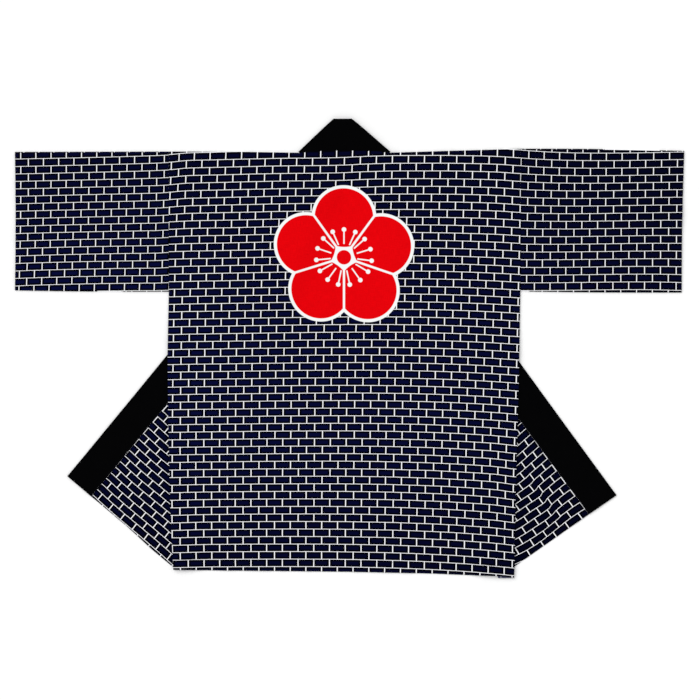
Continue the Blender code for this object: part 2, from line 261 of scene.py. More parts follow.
def frontZ(xy):
    return cloth["clothMid"] + liftOver(xy, "flap") + creaseLift(xy, "flaps")


def backZ(xy):
    extra = liftOver(xy, "neckBand") * (cloth["bandPly"] - cloth["ply"]) / cloth["bandPly"]
    loose = creaseLift(xy, "back") + creaseLift(xy, "flaps") + unevenness(xy, "back")
    return cloth["clothMid"] + liftOver(xy, "flap", "front") + extra + loose


def flapBandZ(xy):
    return np.full(len(xy), cloth["bandMid"])


def neckBandZ(xy):
    return cloth["bandMid"] + liftOver(xy, "flap")


def collarBackZ(xy):
    return neckBandZ(xy) + liftOver(xy, "neckBand")


def folded(xy, front, above, below):
    # past the fold line the cloth turns under and comes back
    at, _, inward = foldLine(front)
    radius = cloth["bandPly"] / 2.0
    past = (xy - at) @ inward
    halfTurn = math.pi * radius / 2.0
    angle = np.clip((past + halfTurn) / radius, 0.0, math.pi)
    shift = radius * np.sin(angle) - halfTurn - past
    shift = np.where(past <= -halfTurn, 0.0, np.where(past >= halfTurn, -2.0 * past, shift))
    laid = xy + np.outer(shift, inward)
    share = (1.0 - np.cos(angle)) / 2.0
    return points(laid, mix(above(laid), below(laid), share))


def cutCloth(size, cell, place):
    # a flat grid, from (0, 0) to (1, 1), put at place(column, row)
    wide, high = (round(length / cell) for length in size)
    mesh = bmesh.new()
    bmesh.ops.create_grid(mesh, x_segments=wide, y_segments=high, size=0.5)
    share = np.array([v.co[:2] for v in mesh.verts]) + 0.5
    for vert, spot in zip(mesh.verts, place(share[:, 0], share[:, 1])):
        vert.co = (spot[0], spot[1], 0.0)
    mesh.normal_update()
    if sum(face.normal.z for face in mesh.faces) < 0.0:
        bmesh.ops.reverse_faces(mesh, faces=mesh.faces[:])
    return mesh


def scoreFold(mesh, front):
    # edges along the fold, so that the cloth turns in even steps
    at, _, inward = foldLine(front)
    halfTurn = math.pi * cloth["bandPly"] / 4.0
    for offset in np.linspace(-halfTurn, halfTurn, cloth["turnCells"] + 1):
        line = at + offset * inward
        bmesh.ops.bisect_plane(
            mesh, geom=mesh.verts[:] + mesh.edges[:] + mesh.faces[:], dist=0.001,
            plane_co=(line[0], line[1], 0.0), plane_no=(inward[0], inward[1], 0.0),
        )
    bmesh.ops.remove_doubles(mesh, verts=mesh.verts[:], dist=0.2)


def addObject(name, data):
    thing = bpy.data.objects.new(name, data)
    bpy.context.scene.collection.objects.link(thing)
    return thing


def addMesh(name, mesh, slots):
    data = bpy.data.meshes.new(name)
    mesh.to_mesh(data)
    mesh.free()
    for material in slots:
        data.materials.append(material)
    data.shade_smooth()
    return addObject(name, data)


def layCloth(name, mesh, rules, wall, slots, outsideDown=False):
    # rules: where the cloth lies, where its print lies, and its place in the cut
    xy = np.array([v.co[:2] for v in mesh.verts])
    laid, printed, cut = (rule(xy) for rule in rules)
    if outsideDown:
        bmesh.ops.reverse_faces(mesh, faces=mesh.faces[:])
    mesh.verts.index_update()
    for layer, spots in (("print", printed), ("cut", cut)):
        uv = mesh.loops.layers.uv.new(layer)
        for face in mesh.faces:
            for loop in face.loops:
                loop[uv].uv = spots[loop.vert.index] * mm
    for vert, spot in zip(mesh.verts, laid):
        vert.co = spot * mm
    return finishCloth(name, mesh, wall, slots)


def wrapGrid(rows, printed, cut, closed=False):
    # faces over rows of points, with the print and the cut on them
    mesh = bmesh.new()
    grid = [[mesh.verts.new(spot * mm) for spot in row] for row in rows]
    maps = [(mesh.loops.layers.uv.new("print"), printed), (mesh.loops.layers.uv.new("cut"), cut)]
    count = len(rows)
    for i in range(count if closed else count - 1):
        for k in range(len(rows[0]) - 1):
            corners = [(i, k), (i + 1, k), (i + 1, k + 1), (i, k + 1)]
            face = mesh.faces.new([grid[a % count][b] for a, b in corners])
            for loop, (a, b) in zip(face.loops, corners):
                for uv, spots in maps:
                    loop[uv].uv = spots[a][b] * mm
    bmesh.ops.recalc_face_normals(mesh, faces=mesh.faces[:])
    return mesh


def finishCloth(name, mesh, wall, slots):
    # slots: the outside's material, then the inside's
    piece = addMesh(name, mesh, slots)
    shell = piece.modifiers.new("wall", "SOLIDIFY")
    shell.thickness = wall * mm
    shell.offset = 0.0
    shell.use_quality_normals = True
    shell.material_offset = 1
    rounding = piece.modifiers.new("edges", "BEVEL")
    rounding.width = cloth["rounding"] * wall * mm
    rounding.segments = 2
    rounding.limit_method = "ANGLE"
    rounding.angle_limit = math.radians(60.0)
    finished = piece.evaluated_get(bpy.context.evaluated_depsgraph_get())
    whole = bpy.data.meshes.new_from_object(finished)
    piece.modifiers.clear()
    piece.data = whole
    mapForBaking(whole)
    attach(piece, "root")
    return piece


bakeMap = {
    "margin": 0.002,
    "outside": 0.886,  # width of the cloth's outside
    "inside": (0.9, 0.098),  # start and width of the strip for its inside
}


def mapForBaking(data):
    # the cloth's outside takes most of the map, and its inside a strip at one end
    corners = len(data.loops)
    cut = np.empty(corners * 2, np.float32)
    data.uv_layers["cut"].data.foreach_get("uv", cut)
    cut = cut.reshape(-1, 2)
    cut = (cut - cut.min(0)) / (cut.max(0) - cut.min(0))
    slot, sides = (np.empty(len(data.polygons), np.int32) for _ in range(2))
    data.polygons.foreach_get("material_index", slot)
    data.polygons.foreach_get("loop_total", sides)
    inside = np.repeat(slot, sides) == 1
    margin, (start, width) = bakeMap["margin"], bakeMap["inside"]
    across = np.where(inside, start + width * cut[:, 0], margin + bakeMap["outside"] * cut[:, 0])
    along = margin + (1.0 - 2.0 * margin) * cut[:, 1]
    baked = points(across, along).astype(np.float32)
    data.uv_layers.new(name="OFBake", do_init=False).data.foreach_set("uv", baked.ravel())


thread = {
    "stitch": 2.3,
    "gap": 0.9,
    "thick": 0.42,
    "sunk": 0.1,
    "sides": 6,
    # a stitch's form: share of its length, and of its thickness there
    "form": ((0.0, 0.35), (0.22, 1.0), (0.78, 1.0), (1.0, 0.35)),
    "colour": (0.0016, 0.0016, 0.0045),
    "twist": 0.3,  # size of the light and dark along it
    "twistInk": (0.8, 0.6),
    "roughness": 0.6,
    "shine": 0.1,
}


def sewLine(name, spots, wall):
    # a row of lockstitches on the upper face, over points in the cloth's middle
    spots = spots + np.array([0.0, 0.0, wall / 2.0])
    reach = np.concatenate(([0.0], np.cumsum(np.linalg.norm(np.diff(spots, axis=0), axis=1))))
    pitch = thread["stitch"] + thread["gap"]
    stations, sizes = np.array(thread["form"]).T
    turns = np.arange(thread["sides"]) * math.tau / thread["sides"]
    upward = np.array([0.0, 0.0, 1.0])
    mesh = bmesh.new()
    for begin in np.arange(0.5 * thread["gap"], reach[-1] - thread["stitch"], pitch):
        shares = begin + thread["stitch"] * stations
        spine = np.column_stack([np.interp(shares, reach, spots[:, axis]) for axis in range(3)])
        along = (spine[-1] - spine[0]) / np.linalg.norm(spine[-1] - spine[0])
        across = np.array([-along[1], along[0], 0.0])
        rings = []
        for spot, size in zip(spine, sizes):
            radius = 0.5 * thread["thick"] * size
            lift = 0.5 * thread["thick"] * (size - 1.0) - thread["sunk"] + radius
            ring = [across * math.cos(turn) + upward * math.sin(turn) for turn in turns]
            ring = [spot + upward * lift + radius * outward for outward in ring]
            rings.append([mesh.verts.new(place * mm) for place in ring])
        for ring, following in zip(rings, rings[1:]):
            for i in range(len(ring)):
                after = (i + 1) % len(ring)
                mesh.faces.new((ring[i], ring[after], following[after], following[i]))
        mesh.faces.new(reversed(rings[0]))
        mesh.faces.new(rings[-1])
    bmesh.ops.recalc_face_normals(mesh, faces=mesh.faces[:])
    piece = addMesh(name, mesh, [threadCotton])
    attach(piece, "root")
    return piece


class Nodes:
    # short names for a material's nodes
    def __init__(self, name):
        self.material = bpy.data.materials.new(name)
        self.material.use_nodes = True
        self.tree = self.material.node_tree
        self.shader = self.tree.nodes["Principled BSDF"]

    def put(self, socket, value):
        if isinstance(value, bpy.types.NodeSocket):
            self.tree.links.new(value, socket)
        else:
            socket.default_value = value

    def shade(self, values):
        for socket, value in values.items():
            self.put(self.shader.inputs[socket], value)

    def add(self, kind, inputs=None, output=0, **settings):
        node = self.tree.nodes.new(kind)
        for key, value in settings.items():
            setattr(node, key, value)
        for key, value in (inputs or {}).items():
            self.put(node.inputs[key], value)
        return node.outputs[output]

    def math(self, operation, first, second=0.0, third=0.0, clamp=False):
        inputs = {0: first, 1: second, 2: third}
        return self.add("ShaderNodeMath", inputs, operation=operation, use_clamp=clamp)

    def vector(self, operation, first, second=(0.0, 0.0, 0.0), output=0):
        inputs = {0: first, ("Scale" if operation == "SCALE" else 1): second}
        return self.add("ShaderNodeVectorMath", inputs, output, operation=operation)

    def swayed(self, value, sway):
        # value, weighed, on top of a share that stays
        return self.math("MULTIPLY_ADD", value, *sway)

    def blend(self, share, first, second):
        return self.add("ShaderNodeMix", {0: share, 6: first, 7: second}, 2, data_type="RGBA")

    def below(self, value, limit, soft):
        # 1 where value is under limit, 0 above, with a soft edge
        inputs = {0: value, 1: limit - soft, 2: limit + soft, 3: 1.0, 4: 0.0}
        return self.add("ShaderNodeMapRange", inputs, interpolation_type="SMOOTHSTEP")

    def noise(self, where, size, detail=2.0, stretch=(1.0, 1.0, 1.0), output=0):
        # size: how wide a blotch is, in millimetres
        place = self.add("ShaderNodeMapping", {"Vector": where, "Scale": stretch})
        inputs = {"Vector": place, "Scale": 1.0 / (size * mm), "Detail": detail}
        return self.add("ShaderNodeTexNoise", inputs, output)


lattice = {
    "brick": 30.9,
    "course": 14.73,
    "joint": (2.12, 1.22),  # widths of the upright and the level white lines
    "rim": (5.8, 5.0),  # from a line's middle to the navy
    "jointSoft": 0.2,
    "rimSoft": 0.3,
    "stray": (5.0, 0.7),  # how often the ink's edges wander, and how far
    "white": (0.9, 0.9, 0.925),
    "whiteSway": (0.12, 0.88),  # what the weave adds to its lightness, and the rest
    "navy": (0.0015, 0.0026, 0.031),
    "navySway": (0.4, 0.4),
    "blotch": 70.0,
    "rimInk": (0.0004, 0.0004, 0.0022, 1.0),
    "paintedLightMiddle": (-200.0, -22.0),  # middle of the painted pool of light that lightens the navy, and below, how far it reaches
    "paintedLightReach": (1180.0, 525.0),
    "wear": 0.08,
}
wrongSide = {
    "navy": (0.045, 0.05, 0.13, 1.0),
    "rim": (0.032, 0.035, 0.085, 1.0),
    "line": (0.36, 0.38, 0.42, 1.0),
    "sway": (0.5, 0.5),
    "wear": 0.1,
}
cotton = {
    "roughness": 0.96,
    "smoother": -0.06,  # on a thread's crest
    "shine": 0.012,
    "fuzz": 0.012,
    "fuzzRoughness": 0.5,
    "threadSize": 0.9,
    "threadDraw": 0.07,  # how much longer than wide a thread's light and dark are
    "threadBump": (0.3, 0.4),  # strength and height
    "hemBump": (0.6, 0.5),
    "groove": 0.8,  # half width of the dip along the stitches
    "pucker": 7.0,  # size of the gathers beside them
    "puckerDraw": 0.25,
    "turnedEdge": 1.5,
    "wornEdge": 0.8,
    "worn": (0.16, 0.165, 0.19, 1.0),
}
flower = {
    "centre": (-10.9, 176.0),
    "soft": 0.4,  # of its edges
    "petals": 5,
    "petalOut": 77.0,  # middle of a petal from the flower's middle
    "petalRound": 57.0,
    "outline": 6.0,
    "gap": 4.2,
    "heart": 14.0,
    "heartRing": 19.0,
    "stamensEach": 3,  # for one petal
    "stamens": (26.0, 50.0, 2.6),  # from, to, and width
    "anther": (54.0, 4.4),
    "red": (0.715, 0.0006, 0.0028),
    "redSway": (0.3, 0.7),
    "white": (0.85, 0.87, 0.865, 1.0),
}


def clothSurface(nodes, colour, stitchAt, wear):
    # weave, slack along the stitched hem, and a little fading on the edges
    where = nodes.add("ShaderNodeUVMap", uv_map="cut")
    drawn, size = cotton["threadDraw"], cotton["threadSize"]
    warp = nodes.noise(where, size, 1.0, (1.0, drawn, 1.0))
    weft = nodes.noise(where, size, 1.0, (drawn, 1.0, 1.0))
    weave = nodes.math("ADD", warp, weft)
    fromEdge = nodes.add("ShaderNodeSeparateXYZ", {0: where}, 1)
    fromLine = nodes.math("ABSOLUTE", nodes.math("SUBTRACT", fromEdge, stitchAt * mm))
    groove, pucker, edge = (cotton[key] * mm for key in ("groove", "pucker", "wornEdge"))
    dip = nodes.below(fromLine, groove, groove)
    gathers = nodes.noise(where, cotton["pucker"], 1.0, (1.0, cotton["puckerDraw"], 1.0))
    gathers = nodes.math("MULTIPLY", gathers, nodes.below(fromLine, pucker, pucker))
    turned = nodes.below(fromEdge, stitchAt * mm, cotton["turnedEdge"] * mm)
    relief = nodes.math("SUBTRACT", nodes.math("MULTIPLY_ADD", turned, 0.5, gathers), dip)
    bump = None
    for height, (strength, distance) in ((relief, cotton["hemBump"]), (weave, cotton["threadBump"])):
        inputs = {"Strength": strength, "Distance": distance * mm, "Height": height}
        if bump is not None:
            inputs["Normal"] = bump
        bump = nodes.add("ShaderNodeBump", inputs)
    worn = nodes.math("MULTIPLY", nodes.below(fromEdge, edge, edge), wear)
    # the colour with its worn edges, which for the printed cotton also holds the painted light
    paintedLightAndWear = nodes.blend(worn, colour(where, weave), cotton["worn"])
    rough = nodes.math("MULTIPLY_ADD", weave, cotton["smoother"], cotton["roughness"])
    nodes.shade({
        "Normal": bump, "Base Color": paintedLightAndWear, "Roughness": rough,
        "Specular IOR Level": cotton["shine"], "Sheen Weight": cotton["fuzz"],
        "Sheen Roughness": cotton["fuzzRoughness"],
    })
    return nodes.material


def brickLines(nodes, where, wide, high, soft):
    # 1 along the lattice's lines, out to wide and high from their middles
    squeeze = high / wide
    place = nodes.add("ShaderNodeMapping", {"Vector": where, "Scale": (squeeze, 1.0, 1.0)})
    inputs = {
        "Vector": place, "Scale": 1.0, "Mortar Size": high * mm, "Mortar Smooth": soft,
        "Brick Width": lattice["brick"] * squeeze * mm, "Row Height": lattice["course"] * mm,
    }
    return nodes.add("ShaderNodeTexBrick", inputs, "Fac", offset=0.5, offset_frequency=2)


def latticeMasks(nodes, joint):
    # the ink's edges wander a little from thread to thread
    where = nodes.add("ShaderNodeUVMap", uv_map="print")
    size, far = lattice["stray"]
    stray = nodes.noise(where, size, output=1)
    shift = nodes.vector("SUBTRACT", stray, (0.5, 0.5, 0.5))
    shift = nodes.vector("SCALE", shift, far * mm)
    inked = nodes.vector("ADD", where, shift)
    joints = brickLines(nodes, inked, joint[0] / 2.0, joint[1] / 2.0, lattice["jointSoft"])
    return joints, brickLines(nodes, inked, *lattice["rim"], lattice["rimSoft"])


def flowerMasks(nodes, where, centre):
    # five round petals about a heart, with white gaps and stamens
    calc = nodes.math
    local = nodes.vector("SUBTRACT", where, (*(centre * mm), 0.0))
    local = nodes.vector("SCALE", local, 1.0 / mm)
    x, y = (nodes.add("ShaderNodeSeparateXYZ", {0: local}, axis) for axis in (0, 1))
    reach = nodes.vector("LENGTH", local, output="Value")
    turn = calc("ARCTAN2", x, y)  # nought is up
    soft = flower["soft"]

    def inWedge(count):
        wedge = math.tau / count
        whole = calc("ADD", turn, wedge / 2.0 + math.tau)
        return calc("SUBTRACT", calc("MODULO", whole, wedge), wedge / 2.0)

    def along(angle):
        return calc("MULTIPLY", reach, calc("COSINE", angle))

    def across(angle):
        return calc("MULTIPLY", reach, calc("SINE", angle))

    def roundAbout(angle, out, radius):
        apart = calc("SUBTRACT", along(angle), out)
        side = across(angle)
        square = calc("MULTIPLY_ADD", apart, apart, calc("MULTIPLY", side, side))
        return calc("SUBTRACT", calc("SQRT", square), radius)

    def either(*masks):
        whole = masks[0]
        for mask in masks[1:]:
            whole = calc("MAXIMUM", whole, mask)
        return whole

    petal = inWedge(flower["petals"])
    petals = roundAbout(petal, flower["petalOut"], flower["petalRound"])
    fromGap = across(calc("SUBTRACT", math.pi / flower["petals"], calc("ABSOLUTE", petal)))
    stamen = inWedge(flower["petals"] * flower["stamensEach"])
    begin, end, wide = flower["stamens"]
    narrow = nodes.below(calc("ABSOLUTE", across(stamen)), wide / 2.0, soft)
    within = calc("SUBTRACT", nodes.below(reach, end, soft), nodes.below(reach, begin, soft))
    stalk = calc("MULTIPLY", narrow, within)
    anther = nodes.below(roundAbout(stamen, *flower["anther"]), 0.0, soft)
    ring = nodes.below(reach, flower["heartRing"], soft)
    white = either(nodes.below(petals, flower["outline"], soft), ring)
    bare = either(nodes.below(fromGap, flower["gap"] / 2.0, soft), stalk, anther, ring)
    red = calc("SUBTRACT", nodes.below(petals, 0.0, soft), bare, clamp=True)
    return white, either(red, nodes.below(reach, flower["heart"], soft))


def paintedLightPool(nodes, strength):
    # painted light: the navy lit more brightly in a soft pool round one spot, by strength at its
    # middle and less away from there
    place = nodes.add("ShaderNodeTexCoord", output="Object")
    middle = (*(value * mm for value in lattice["paintedLightMiddle"]), 0.0)
    away = nodes.vector("SUBTRACT", place, middle)
    shrink = (*(1.0 / (value * mm) for value in lattice["paintedLightReach"]), 0.0)
    away = nodes.vector("MULTIPLY", away, shrink)
    square = nodes.vector("DOT_PRODUCT", away, away, output="Value")
    left = nodes.math("EXPONENT", nodes.math("MULTIPLY", square, -1.0))
    return nodes.math("MULTIPLY", left, strength)


def printedCotton(name, joint, paintedLightAndWear, blossom=None):
    # joint: widths of the white lines. The next: how strongly painted light lightens this piece's
    # navy. blossom: the flower's middle
    nodes = Nodes(name)
    joints, rims = latticeMasks(nodes, joint)

    def colour(where, weave):
        blotch = nodes.noise(where, lattice["blotch"], 3.0)
        tone = nodes.swayed(nodes.math("ADD", blotch, weave), lattice["navySway"])
        # painted light on the navy, from the soft pool round one spot
        tone = nodes.math("MULTIPLY", tone, paintedLightPool(nodes, paintedLightAndWear))
        navy = nodes.vector("SCALE", lattice["navy"], tone)
        bare = nodes.vector("SCALE", lattice["white"], nodes.swayed(weave, lattice["whiteSway"]))
        shade = nodes.blend(joints, nodes.blend(rims, navy, lattice["rimInk"]), bare)
        if blossom is None:
            return shade
        white, red = flowerMasks(nodes, where, blossom)
        scarlet = nodes.vector("SCALE", flower["red"], nodes.swayed(weave, flower["redSway"]))
        return nodes.blend(red, nodes.blend(white, shade, flower["white"]), scarlet)

    return clothSurface(nodes, colour, stitchAt=cloth["hemDepth"], wear=lattice["wear"])


def reverseCotton(name):
    # the print shows through faintly on the cloth's wrong side
    nodes = Nodes(name)
    joints, rims = latticeMasks(nodes, lattice["joint"])

    def colour(where, weave):
        shade = nodes.blend(rims, wrongSide["navy"], wrongSide["rim"])
        shade = nodes.blend(joints, shade, wrongSide["line"])
        return nodes.vector("SCALE", shade, nodes.swayed(weave, wrongSide["sway"]))

    return clothSurface(nodes, colour, stitchAt=cloth["hemDepth"], wear=wrongSide["wear"])


def plainCotton(name, band):
    nodes = Nodes(name)

    def colour(where, weave):
        blotch = nodes.noise(where, band["blotch"], 3.0)
        tone = nodes.swayed(nodes.math("ADD", blotch, weave), band["sway"])
        return nodes.vector("SCALE", band["black"], tone)

    return clothSurface(nodes, colour, band["stitchAt"], band["wear"])


def sewingThread(name):
    nodes = Nodes(name)
    where = nodes.add("ShaderNodeTexCoord", output="Object")
    twist = nodes.noise(where, thread["twist"])
    shade = nodes.vector("SCALE", thread["colour"], nodes.swayed(twist, thread["twistInk"]))
    nodes.shade({
        "Base Color": shade, "Roughness": thread["roughness"], "Specular IOR Level": thread["shine"],
    })
    return nodes.material


printBend = {
    "steadyTo": 1.6,  # in reaches above the middle
    "fadesOver": 1.5,
}


def printOn(xy, grain):
    # Where the print lies on the cloth. The rows run straight to first order, and
    # the rest is the bend that handling has put in them, held steady past the ends and
    # fading out far above them. Seams and creases pull the rows near them along.
    near = (xy - np.array(grain["middle"])) / np.array(grain["reach"])
    x, y = np.clip(near, -1.0, 1.0).T
    bent = 1.0 - smoothStep((near[:, 1] - printBend["steadyTo"]) / printBend["fadesOver"])
    bends = [bent * bend for bend in (y * y, x * y, x * y * y, x * x, x * x * y, x * x * x)]
    terms = points(np.ones(len(xy)), near[:, 1], bends[0], near[:, 0], *bends[1:])
    spots = points(terms @ np.array(grain["across"]), terms @ np.array(grain["up"]))
    for x, y, angle, before, after, reach, across, up in grain.get("pulls", ()):
        turn = math.radians(angle)
        dx, dy = xy[:, 0] - x, xy[:, 1] - y
        along = dx * math.cos(turn) + dy * math.sin(turn)
        past = dx * math.sin(turn) - dy * math.cos(turn)
        past = past / np.where(past < 0.0, before, after)
        share = np.exp(-past * past - (along / reach) ** 2)
        spots += np.outer(share, (across, up))
    return spots


back = {
    "size": (684, 815),
    "overShoulder": 12.0,
    "shoulderCells": 3,
    "neckRoom": 1.2,  # from the collar's end to where the back turns over
    "neckRise": 4.9,  # how far its neck edge stands up over the collar
    "neckRamp": 10.0,
    "neckGap": 0.1,
    # strength of the painted light on the navy
    "paintedLightAndWear": 1.0,
    "hemSides": -430.0,  # where the sides are read for the hem's stitches
    "stitchStart": 6.0,
    "stitchRoom": 1.0,
    "stitchPoints": 160,
    "grain": {
        "middle": (-11.0, -25.0), "reach": (340.0, 405.0),
        "across": (8.7, -7.2, -2.9, 339.4, -1.8, 2.3, -3.0, -0.4, -0.8),
        "up": (-11.2, 404.1, -1.7, -0.9, -6.1, -0.6, 6.7, -2.1, 4.0),
        # middle x, y and angle of the line that pulls, how far that is felt to
        # its left, to its right and along it, and how far the print is moved
        "pulls": [
            (-351, 360, 90, 24, 24, 130, -1.9, 2.8), (332, 340, 90, 30, 30, 110, 0.8, 1.3),
            (-345, -350, 90, 42, 42, 120, 0.6, 1.3), (322, -270, 90, 28, 28, 110, 1.2, 2.2),
            (-351, 0, 90, 27, 27, 220, 0.0, 0.5), (-40, 379, 90, 74, 74, 120, 0.0, 2.1),
        ],
    },
}


def aboveHem(xy):
    return points(xy[:, 0], xy[:, 1] - hemY(xy[:, 0]))


def hemLift(fromEdge):
    # a hem is thicker by its turned edge
    return cloth["hemStep"] * (1.0 - smoothStep((fromEdge - cloth["hemDepth"]) / cloth["hemRamp"]))


def makeBack():
    top = float(shoulderY(0.0))
    neckLeft, neckRight = (
        front["neck"][0] + front["side"] * back["neckRoom"] for front in fronts.values()
    )
    radius = cloth["ply"] / 2.0
    turn = math.pi * radius

    def inNeck(x):
        share = np.clip((x - neckLeft) / (neckRight - neckLeft), 0.0, 1.0)
        return np.sqrt(np.maximum(arch(share), 0.0)) * ((share > 0.0) & (share < 1.0))

    def place(column, row):
        y = mix(hemLine["y"][0], top, row)
        x = mix(sideX(y, -1), sideX(y, 1), column)
        return points(x, mix(hemY(x), shoulderY(x) + back["neckRise"] * inNeck(x), row))

    mesh = cutCloth(back["size"], cloth["cell"], place)

    # the cloth goes on over the shoulder on both sides of the neck
    def onShoulder(vert):
        x, y, _ = vert.co
        return abs(y - shoulderY(x)) < 0.01 and (x < neckLeft or x > neckRight)

    rim = [e for e in mesh.edges if e.is_boundary and all(map(onShoulder, e.verts))]
    steps = []
    for length, cells in ((turn, cloth["turnCells"]), (back["overShoulder"], back["shoulderCells"])):
        steps += [length / cells] * cells
    for step in steps:
        grown = bmesh.ops.extrude_edge_only(mesh, edges=rim)["geom"]
        for vert in (g for g in grown if isinstance(g, bmesh.types.BMVert)):
            vert.co.y += step
        rim = [g for g in grown if isinstance(g, bmesh.types.BMEdge)]

    def lay(xy):
        neck = inNeck(xy[:, 0])
        past = np.where(neck > 0.0, 0.0, np.maximum(xy[:, 1] - shoulderY(xy[:, 0]), 0.0))
        angle = np.minimum(past / radius, math.pi)
        y = xy[:, 1] - past + radius * np.sin(angle) - np.maximum(past - turn, 0.0)
        spot = points(xy[:, 0], y)
        share = (1.0 - np.cos(angle)) / 2.0
        z = mix(backZ(spot), frontZ(spot), share)
        climb = neck * smoothStep((xy[:, 1] - top) / back["neckRamp"] + 1.0)
        overCollar = 0.5 * (cloth["band"] + cloth["wall"]) + back["neckGap"]
        z = mix(z, collarBackZ(spot) + overCollar, climb)
        return points(spot, z + hemLift(xy[:, 1] - hemY(xy[:, 0])))

    blossom = aboveHem(np.array([flower["centre"]]))[0]
    slots = [printedCotton("back print", lattice["joint"], back["paintedLightAndWear"], blossom), reverse]
    rules = (lay, lambda xy: printOn(xy, back["grain"]), aboveHem)
    piece = layCloth("coatBack", mesh, rules, cloth["wall"], slots)
    left, right = (sideX(back["hemSides"], side) - side * back["stitchRoom"] for side in (-1, 1))
    x = np.linspace(hemLine["x"][0] + back["stitchStart"], right, back["stitchPoints"])
    x = x[x > left]
    line = lay(points(x, hemY(x) + cloth["hemDepth"]))
    hemStitch = sewLine("backHemStitch", line, cloth["wall"])
    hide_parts("back")


frontCut = {
    "size": (245, 812),
    "intoSeam": 0.15,
    "belowShoulder": 12.6,
    "seamRise": 22.0,  # how far from the collar it starts to rise
    "droopTo": 142.0,  # how far from the fold the hem hangs low
    "droopFades": (90.0, 25.0),
    "foldRoom": 4.0,
    # slack starts this far past the fold and the seam, and grows over so much
    "slackPastFold": (6.0, 30.0),
    "slackPastSeam": (10.0, 40.0),
    "stitchEnds": (12.0, 1.5),
    "stitchPoints": 60,
}
frontGrain = {
    "left": {
        "middle": (-212.0, -340.0), "reach": (98.0, 92.0),
        "across": (13.8, 0.7, 2.1, 103.1, 0.5, -1.6, -0.9, -1.8, 1.1),
        "up": (5.3, 95.8, 0.3, 2.2, 0.4, -1.1, -0.5, -0.1, -2.4),
    },
    "right": {
        "middle": (164.0, -355.0), "reach": (90.0, 100.0),
        "across": (1.2, 0.7, -1.5, 96.2, 1.2, -3.4, -4.4, -0.0, -6.3),
        "up": (10.4, 101.7, -0.6, 0.8, -4.8, -3.7, -11.8, -8.2, -7.4),
        "pulls": [(127.5, -370, 90, 4, 24, 45, 1.6, 2.9), (150, -412, -40, 18, 18, 40, -0.2, 1.6)],
    },
}


def makeFront(name):
    front = fronts[name]
    neck, hem = np.array(front["neck"]), np.array(front["hem"])
    side = front["side"]
    outerHem = sideX(hem[1], side)

    def lowY(x):
        # its hem, which hangs lower near the fold
        fromFold = side * (front["foldAt"][0] - x)
        inner, outer = frontCut["droopFades"]
        droop = front["droop"] * smoothStep((frontCut["droopTo"] - fromFold) / inner)
        droop = droop * smoothStep((fromFold + frontCut["foldRoom"]) / outer)
        return mix(float(hemY(outerHem)), hem[1], (x - outerHem) / (hem[0] - outerHem)) - droop

    def place(column, row):
        inner = mix(hem[0], neck[0], row) + side * frontCut["intoSeam"]
        x = mix(sideX(mix(hem[1], neck[1], row), side), inner, column)
        return points(x, mix(lowY(x), shoulderY(x) - frontCut["belowShoulder"], row))

    mesh = cutCloth(frontCut["size"], cloth["cell"], place)
    scoreFold(mesh, front)

    def lay(xy):
        spot = folded(xy, front, frontZ, flapZ)
        seam = mix(hem[0], neck[0], (xy[:, 1] - hem[1]) / (neck[1] - hem[1]))
        # it is sewn in at the middle of the collar's thickness
        fromSeam = np.abs(xy[:, 0] - seam)
        rise = np.clip(1.0 - fromSeam / frontCut["seamRise"], 0.0, 1.0)
        spot[:, 2] += (cloth["bandMid"] - cloth["clothMid"]) * rise
        at, _, inward = foldLine(front)
        loose = 1.0
        for past, key in (((xy - at) @ inward, "slackPastFold"), (fromSeam, "slackPastSeam")):
            start, growth = frontCut[key]
            loose = loose * smoothStep((past - start) / growth)
        spot[:, 2] += loose * unevenness(spot[:, :2], "fronts", side)
        return spot

    def cut(xy):
        return points(xy[:, 0], xy[:, 1] - lowY(xy[:, 0]))

    rules = (lay, lambda xy: printOn(xy, frontGrain[name]), cut)
    slots = [printedCotton(name + " front print", front["joint"], front["paintedLightAndWear"]), reverse]
    piece = layCloth("coatFront" + name.title(), mesh, rules, cloth["wall"], slots, outsideDown=True)
    atFold, atSeam = frontCut["stitchEnds"]
    start, end = front["foldAt"][0] - side * atFold, hem[0] + side * atSeam
    x = np.linspace(start, end, frontCut["stitchPoints"])
    line = lay(points(x, lowY(x) + cloth["hemDepth"]))
    stitch = sewLine("frontHemStitch" + name.title(), line, cloth["wall"])
    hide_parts("front_" + name)


# For each sleeve, the value after its joints is the strength of the painted light on its navy.
sleeves = {
    "left": {
        "side": -1, "armTop": (-351.3, 380.2), "armLow": (-351.3, 110.6),
        "cuffTop": (-650.0, 379.3), "cuffLow": (-650.0, 113.0),
        "topBow": 0.0, "lowBow": -1.0, "cuffBow": 1.5,
        "joint": (1.96, 1.1), "paintedLightAndWear": 1.2,
        "grain": {
            "middle": (-500.0, 246.0), "reach": (150.0, 136.0),
            "across": (-8.1, -2.6, 1.3, 157.8, -0.7, -0.6, 0.8, 0.1, 1.3),
            "up": (6.1, 138.5, -0.1, -3.5, 0.3, -0.1, 1.0, -1.7, -0.1),
            "pulls": [(-351, 210, 90, 16, 16, 160, 0.3, -1.2)],
        },
    },
    "right": {
        "side": 1, "armTop": (332.8, 385.6), "armLow": (331.8, 111.2),
        "cuffTop": (650.0, 381.4), "cuffLow": (645.0, 108.8),
        "topBow": 1.4, "lowBow": -1.0, "cuffBow": 1.5,
        "joint": (1.86, 1.05), "paintedLightAndWear": 1.0,
        "grain": {
            "middle": (490.0, 247.0), "reach": (158.0, 139.0),
            "across": (8.6, -1.5, -0.7, 159.7, 0.5, 0.2, -1.2, -0.6, 0.4),
            "up": (-0.7, 139.6, 0.8, -3.8, 0.5, 1.5, -1.5, -4.1, 1.7),
        },
    },
}
